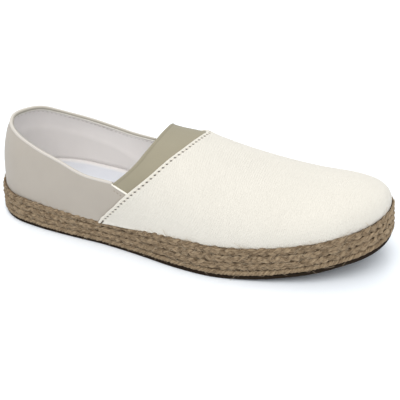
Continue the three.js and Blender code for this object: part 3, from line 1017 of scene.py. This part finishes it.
class Strands:
    """Closed strands that wind round a track, gathered into one piece."""

    def __init__(self, seed, course, step):
        at, self.length = course
        self.draw = np.random.default_rng(seed)
        self.count = int(self.length / step)
        self.s = np.arange(self.count) * self.length / self.count
        self.point, self.out, self.up = at(self.s)
        self.parts = []

    def drift(self, size, wave):
        """Smooth random values round the track, mostly between -size and size."""
        total = np.zeros(self.count)
        for _ in range(DRIFT_WAVES):
            cycles = max(1, round(self.length / wave * self.draw.uniform(0.5, 1.5)))
            total += np.sin(2 * pi * (cycles * self.s / self.length + self.draw.uniform()))
        return size * total / sqrt(DRIFT_WAVES)

    def lay(self, rise, reach, width, depth, twist, hollow, tint, fibre, number):
        """Adds a strand with an oval, ridged section, moved up and out from the track."""
        path = self.point + self.up * rise[:, None] + self.out * reach[:, None]
        along = unit(np.roll(path, -1, 0) - np.roll(path, 1, 0))
        normal = unit(self.out - along * np.sum(self.out * along, 1, keepdims=True))
        across = np.cross(normal, along)
        angle = angles(STRAND_SIDES)[None]
        twist = twist[:, None]
        ridge = 1 - PLY_RIDGE * np.abs(np.sin((PLIES * angle + twist) / 2)) ** 3
        points = path[:, None] + across[:, None] * (np.cos(angle) * width[:, None] / 2 * ridge)[..., None]
        points = points + normal[:, None] * (np.sin(angle) * depth[:, None] / 2 * ridge)[..., None]
        ids = np.arange(ridge.size).reshape(ridge.shape)
        faces = faces_of_grid(join([ids, ids[:1]]), loop=True) + ridge.size * len(self.parts)
        outward = np.sum((points - self.point[:, None]) * self.out[:, None], -1)
        cloth = columns(self.s[:, None], angle * fibre + twist * 0.4, number)
        marks = columns(1 - smooth(outward, *hollow), tint[:, None], 1 - ridge)
        self.parts.append((points.reshape(-1, 3), faces, cloth, marks))

    def add(self, name, look):
        points, faces, cloth, marks = (join(items) for items in zip(*self.parts))
        add_piece(name, points, faces, look, "jute_midsole", cloth, marks)


def plait(row, look):
    """One row of three-strand plait round the sole."""
    share = (1 - CORD_SHARE) / BRAID_ROWS
    middle = CORD_SHARE + (row + 0.5) * share

    def height(x):
        return OUTSOLE_THICKNESS + SEAM_GAP + middle * plaited_height(x) - cord_sink(x) * (1 - middle)

    course = track(STRAND_DEPTH / 2 + PLAIT_DEPTH * 0.75, height, 1.15 - middle)
    braid = Strands(PLAIT_SEED + row, course, STRAND_STEP)
    drift, x = braid.drift, braid.point[:, 0]
    cycles = round(braid.length / (STRANDS * PLAIT_PITCH)) * braid.s / braid.length
    swing = (share * plaited_height(x) + 0.5 - STRAND_WIDTH) / 2
    # Painted light on the plaits at the toe end
    toe_light = TOE_PAINTED_LIGHT * smooth(x / LENGTH, *TOE_LIGHT_FADE)
    for strand in range(STRANDS):
        phase = 2 * pi * (cycles - strand / STRANDS + ROW_SHIFT * row) + drift(*PHASE_DRIFT)
        rise = swing * (1 + drift(*SWING_DRIFT)) * np.sin(phase) + drift(*RISE_DRIFT)
        reach = drift(*REACH_DRIFT) - PLAIT_DEPTH * np.sin(2 * phase)
        width = STRAND_WIDTH * (1 + drift(*WIDTH_DRIFT))
        depth = STRAND_DEPTH * (1 + drift(*DEPTH_DRIFT))
        twist = 2 * pi * braid.s / STRAND_LAY + drift(*TWIST_DRIFT)
        tint = PLAIT_TINT + drift(*TINT_DRIFT) + 0.1 * braid.draw.normal() + toe_light
        braid.lay(rise, reach, width, depth, twist, PLAIT_HOLLOW, tint, 1.3, 40 * row + 9 * strand)
    braid.add(f"jute_plait_{row}", look)


def jute_cord(look):
    """The twisted cord under the plaits."""
    def height(x):
        return OUTSOLE_THICKNESS + CORD_SHARE / 2 * braid_height(x) - cord_sink(x)

    cord = Strands(CORD_SEED, track(CORD_INSET, height, 1.0), CORD_STEP)
    cycles = round(cord.length / CORD_LAY) * cord.s / cord.length
    for ply in range(CORD_PLIES):
        phase = 2 * pi * (cycles + ply / CORD_PLIES) + cord.drift(*CORD_PHASE_DRIFT)
        rise, reach = CORD_MIDDLE * np.cos(phase), CORD_MIDDLE * np.sin(phase)
        size = CORD_PLY * (1 + cord.drift(*CORD_SIZE_DRIFT))
        twist = 2 * pi * cord.s / CORD_PLY_LAY
        tint = CORD_TINT + cord.drift(*CORD_TINT_DRIFT)
        cord.lay(rise, reach, size, size, twist, CORD_HOLLOW, tint, 1.0, 200 + 9 * ply)
    cord.add("jute_cord", look)


def jute_fibres(look):
    """Loose hairs that stand off the braid, mostly along it."""
    draw = np.random.default_rng(FIBRE_SEED)
    at, length = track(0.6, braid_height)
    t = np.linspace(0, 1, FIBRE_PARTS)[:, None]
    items = []
    for start in draw.uniform(0, length, FIBRES):
        point, out, up = (item[0] for item in at(np.array([start])))
        along = np.cross(out, up)
        low = OUTSOLE_THICKNESS + SEAM_GAP - point[2] + spring_at(point[0])
        root = point + up * (low + draw.uniform(0.02, 1.05) * plaited_height(point[0]))
        way = unit(draw.choice((-1, 1)) * along + up * draw.normal(0, 0.55) + out * draw.uniform(0, 0.25))
        bend = up * draw.normal(0, 0.3) - out * draw.uniform(0, 0.25) - way * 0.1
        reach = draw.uniform(*FIBRE_LENGTH)
        path = root + way * t * reach + bend * t**2 * reach
        path[:, 2] = np.maximum(path[:, 2], 2 * FIBRE_RADIUS)
        items.append(cord_along(path, out, FIBRE_RADIUS, sides=4))
    add_tubes("jute_fibres", items, look, "jute_midsole")


# Materials

# Colours as a screen shows them, from 0 to 255
CANVAS = (218, 212, 201), (225, 219, 208)
CANVAS_WEAVE = (186, 180, 168)
CANVAS_BAND = (230, 223, 208)
# Painted shade in the stitch holes
STITCH_HOLE_SHADE = (70, 56, 44)
QUARTER = (165, 156, 145), (173, 164, 153)
QUARTER_WEAVE = (146, 138, 128)
GORE = (139, 131, 110), (149, 141, 120)
GORE_WEAVE = (126, 118, 98)
# Painted shade in the gore's groove
GORE_GROOVE_SHADE = (104, 96, 78)
LINING = (237, 231, 227), (228, 222, 218)
# Painted shade on the lining below the stiffener's edge
STIFFENER_SHADE = (206, 201, 196)
SHADED_LINING = (224, 219, 216)
INSOLE = (210, 211, 216), (202, 204, 210)
CREAM = (202, 195, 186), (188, 181, 172)
KHAKI = (180, 173, 161), (166, 159, 146)
JUTE = (92, 73, 50), (186, 162, 131)
JUTE_FINE = (116, 95, 68)
JUTE_SHADE = (82, 64, 44)
CORE = (92, 73, 50), (124, 102, 75)
RUBBER = (27, 19, 13), (47, 37, 28)
CANVAS_THREAD = (226, 218, 203)
LINING_THREAD = (216, 211, 206)
LINING_PIPING = (232, 228, 219)
FRONT_PIPING = (246, 241, 230)
QUARTER_THREAD = (142, 133, 120)
JUTE_HAIR = (186, 166, 138)
THREAD_SHADE = (150, 140, 125)


def linear(tone):
    """A shader's colour for the 0 to 255 values of a screen."""
    shares = (value / 255 for value in tone)
    return (*(v / 12.92 if v <= 0.04045 else ((v + 0.055) / 1.055) ** 2.4 for v in shares), 1.0)


class Look:
    """A material with a principled shader, and the nodes that feed it."""

    def __init__(self, name, roughness, sheen=0.0, specular=0.5):
        self.material = bpy.data.materials.new(name)
        self.material.use_nodes = True
        self.tree = self.material.node_tree
        self.shader = self.tree.nodes["Principled BSDF"]
        values = {"Roughness": roughness, "Sheen Weight": sheen, "Specular IOR Level": specular}
        for label, value in values.items():
            self.shader.inputs[label].default_value = value

    def add(self, kind, inputs=(), output=0, **settings):
        """Adds a node with its settings, fills its inputs and returns one of its outputs."""
        node = self.tree.nodes.new(kind)
        for label, value in settings.items():
            setattr(node, label, value)
        for label, value in dict(inputs).items():
            if isinstance(value, bpy.types.NodeSocket):
                self.tree.links.new(value, node.inputs[label])
            else:
                node.inputs[label].default_value = value
        return node.outputs[output]

    def layer(self, name):
        """A named layer of the mesh, and its three numbers."""
        vector = self.add("ShaderNodeAttribute", attribute_name=name, output="Vector")
        return vector, *self.add("ShaderNodeSeparateXYZ", {"Vector": vector}).node.outputs

    def math(self, operation, a, b=0.0, clamp=False):
        return self.add("ShaderNodeMath", {0: a, 1: b}, operation=operation, use_clamp=clamp)

    def total(self, *terms, clamp=False):
        """The sum of some values, each given with its weight."""
        result, *others = (self.math("MULTIPLY", *term) for term in terms)
        for other in others:
            result = self.math("ADD", result, other, clamp=clamp)
        return result

    def stretch(self, vector, *scale):
        return self.add("ShaderNodeVectorMath", {0: vector, 1: scale}, operation="MULTIPLY")

    def noise(self, vector, scale, detail, roughness=0.6):
        inputs = {"Vector": vector, "Scale": scale, "Detail": detail, "Roughness": roughness}
        return self.add("ShaderNodeTexNoise", inputs)

    def wave(self, value, period):
        """A sine between 0 and 1 along a value."""
        sine = self.math("SINE", self.math("MULTIPLY", value, 2 * pi / period))
        return self.math("ADD", self.math("MULTIPLY", sine, 0.5), 0.5)

    def mix(self, share, *tones):
        a, b = (linear(tone) if isinstance(tone, tuple) else tone for tone in tones)
        return self.add("ShaderNodeMix", {0: share, 6: a, 7: b}, output=2, data_type="RGBA")

    def stain(self, base, share, weight, tone):
        """A colour that turns into a tone by a weighted share."""
        return self.mix(self.math("MULTIPLY", share, weight), base, tone)

    def bump(self, height, distance):
        normal = self.add("ShaderNodeBump", {"Height": height, "Distance": distance, "Strength": 1.0})
        self.tree.links.new(normal, self.shader.inputs["Normal"])

    def paint(self, base):
        """Gives the shader its colour, and returns the finished material."""
        self.tree.links.new(base, self.shader.inputs["Base Color"])
        return self.material

    def woven(self, period, lean, depth):
        """A twill as bump: fine slanted lines broken up by threads. Returns its height and its layer."""
        vector, along, across, _ = self.layer("cloth")
        line = self.wave(self.total((along, 1), (across, lean)), period)
        cross = self.wave(self.total((across, 1), (along, -0.12)), period * 0.62)
        height = self.total((line, 0.6), (cross, 0.25), (self.noise(vector, 1.1, 4), 0.7))
        self.bump(height, depth)
        return height, vector


def canvas_look():
    look = Look("canvas", 0.9, sheen=0.15)
    height, vector = look.woven(1.3, 0.6, 0.00035)
    _, hole, band, _ = look.layer("marks")
    base = look.mix(look.noise(vector, 0.035, 2), *CANVAS)
    base = look.stain(base, height, 0.2, CANVAS_WEAVE)
    base = look.stain(base, band, 0.25, CANVAS_BAND)
    # Painted shade darkens the stitch holes
    return look.paint(look.stain(base, hole, 1.7, STITCH_HOLE_SHADE))


def quarter_look():
    look = Look("quarter", 0.82, sheen=0.1)
    height, vector = look.woven(0.62, 0.3, 0.00005)
    base = look.mix(look.noise(vector, 0.04, 2), *QUARTER)
    return look.paint(look.stain(base, height, 0.1, QUARTER_WEAVE))


def gore_look():
    look = Look("elastic", 0.75, sheen=0.1)
    vector, _, across, _ = look.layer("cloth")
    _, _, groove_shade, _ = look.layer("marks")
    height = look.total((look.wave(across, 0.8), 0.6), (look.noise(vector, 2.2, 3), 0.6))
    look.bump(height, 0.00008)
    base = look.mix(look.noise(vector, 0.05, 2), *GORE)
    base = look.stain(base, height, 0.16, GORE_WEAVE)
    # Painted shade along the groove
    return look.paint(look.stain(base, groove_shade, 0.3, GORE_GROOVE_SHADE))


def lining_look():
    look = Look("lining", 0.9)
    _, vector = look.woven(0.7, 0.0, 0.00006)
    _, step_and_shade, _, _ = look.layer("marks")
    # Painted shade below the stiffener's edge
    return look.paint(look.mix(step_and_shade, look.mix(look.noise(vector, 0.05, 2), *LINING), STIFFENER_SHADE))


def insole_look():
    """Plain cloth that turns into a shaded lining colour where it runs up at its edge: painted shade in
    the crease by the lining.
    """
    look = Look("insole", 0.9)
    _, vector = look.woven(0.7, 0.0, 0.00006)
    _, margin, _, _ = look.layer("marks")
    share = look.add("ShaderNodeMapRange", {"Value": margin, "From Min": 0.8, "From Max": 3.2})
    return look.paint(look.mix(share, SHADED_LINING, look.mix(look.noise(vector, 0.05, 2), *INSOLE)))


def binding_look():
    look = Look("binding", 0.85)
    vector, *_ = look.layer("cloth")
    *_, khaki = look.layer("marks")
    grain = look.noise(vector, 1.6, 3)
    look.bump(grain, 0.0001)
    return look.paint(look.mix(khaki, look.mix(grain, *CREAM), look.mix(grain, *KHAKI)))


def jute_look():
    look = Look("jute", 0.95)
    vector, *_ = look.layer("cloth")
    _, cavity, tint, ridge = look.layer("marks")
    streak = look.noise(look.stretch(vector, 0.3, 1.5, 1), 1.0, 4, 0.75)
    fine = look.noise(look.stretch(vector, 0.9, 7, 1), 1.0, 3, 0.7)
    light = look.math("SUBTRACT", look.total((streak, 3.8), (tint, 0.55)), 1.65, clamp=True)
    base = look.stain(look.mix(light, *JUTE), fine, 0.45, JUTE_FINE)
    shade = look.total((cavity, 0.45), (ridge, 2.4), clamp=True)
    look.bump(look.total((streak, 1), (fine, 0.8)), 0.0005)
    return look.paint(look.mix(shade, base, JUTE_SHADE))


def grained_look(name, roughness, grain, weight, tones, depth, specular=0.5):
    """One stuff all over, with a grain of some scale and detail in its colour and its surface."""
    look = Look(name, roughness, specular=specular)
    spots = look.noise(look.add("ShaderNodeTexCoord", output="Object"), *grain)
    look.bump(spots, depth)
    return look.paint(look.stain(tones[0], spots, weight, tones[1]))


def thread_look(name, tone):
    return grained_look(name, 0.8, (2500, 2), 0.4, (tone, THREAD_SHADE), 0.00005)


def floor_look():
    look = Look("floor", 0.35)
    look.shader.inputs["Base Color"].default_value = FLOOR_COLOUR
    return look.material


# Scene

# The camera's direction and distance from what it aims at
AZIMUTH = radians(21)
ELEVATION = radians(29)
DISTANCE = 0.6
AIM = (151.53, 0.0, 24.4)
FRAME_PIXELS = 400
FOCAL_PIXELS = 876.42
FLOOR_SIZE = 80
FLOOR_COLOUR = (0.92, 0.945, 0.98, 1)
SKY = (0.9, 0.955, 1, 1)
SKY_STRENGTH = 0.74

# Place, spread in degrees, strength and colour of the soft lights
FRONT_LIGHT = ((0.2, -0.65, 1.15), 70, 1.95, (1, 0.985, 0.965))
KEY_LIGHT = ((-0.5, 0.5, 1.1), 60, 0.92, (1, 0.985, 0.955))


def camera():
    bpy.context.scene.view_settings.view_transform = "Standard"
    data = bpy.data.cameras.new("camera")
    data.lens = FOCAL_PIXELS / FRAME_PIXELS * data.sensor_width
    eye = bpy.data.objects.new("camera", data)
    flat = cos(ELEVATION)
    back = Vector((sin(AZIMUTH) * flat, -cos(AZIMUTH) * flat, sin(ELEVATION)))
    eye.location = Vector(placed(AIM)) + back * DISTANCE
    eye.rotation_euler = back.to_track_quat("Z", "Y").to_euler()
    bpy.context.scene.collection.objects.link(eye)
    bpy.context.scene.camera = eye


def wide_sun(name, place, spread, strength, tone):
    data = bpy.data.lights.new(name, "SUN")
    data.angle = radians(spread)
    data.energy = strength
    data.color = tone
    lamp = bpy.data.objects.new(name, data)
    lamp.location = place
    lamp.rotation_euler = Vector(place).to_track_quat("Z", "Y").to_euler()
    bpy.context.scene.collection.objects.link(lamp)


def studio():
    bpy.ops.mesh.primitive_plane_add(size=FLOOR_SIZE)
    floor = bpy.context.object
    floor.name = "floor"
    floor.data.materials.append(floor_look())
    world = bpy.data.worlds.new("studio")
    world.use_nodes = True
    sky = world.node_tree.nodes["Background"].inputs
    sky["Color"].default_value = SKY
    sky["Strength"].default_value = SKY_STRENGTH
    bpy.context.scene.world = world
    wide_sun("front", *FRONT_LIGHT)
    wide_sun("key", *KEY_LIGHT)


camera()
studio()
vamp(canvas_look())
vamp_stitches(thread_look("stitch_thread", CANVAS_THREAD))
quarter(quarter_look())
gore(gore_look())
lining(lining_look())
lining_stitches(thread_look("lining_thread", LINING_THREAD))
collar_binding(binding_look())
lining_piping(thread_look("piping", LINING_PIPING))
quarter_piping(thread_look("front_piping", FRONT_PIPING))
quarter_stitches(thread_look("quarter_thread", QUARTER_THREAD))
insole(insole_look())
jute_core(grained_look("jute_core", 1.0, (900, 3), 1, CORE, 0.0004))
jute = jute_look()
for row in range(BRAID_ROWS):
    plait(row, jute)
jute_cord(jute)
jute_fibres(thread_look("fibres", JUTE_HAIR))
outsole(grained_look("rubber", 0.7, (1400, 3), 1, RUBBER, 0.00008, specular=0.05))
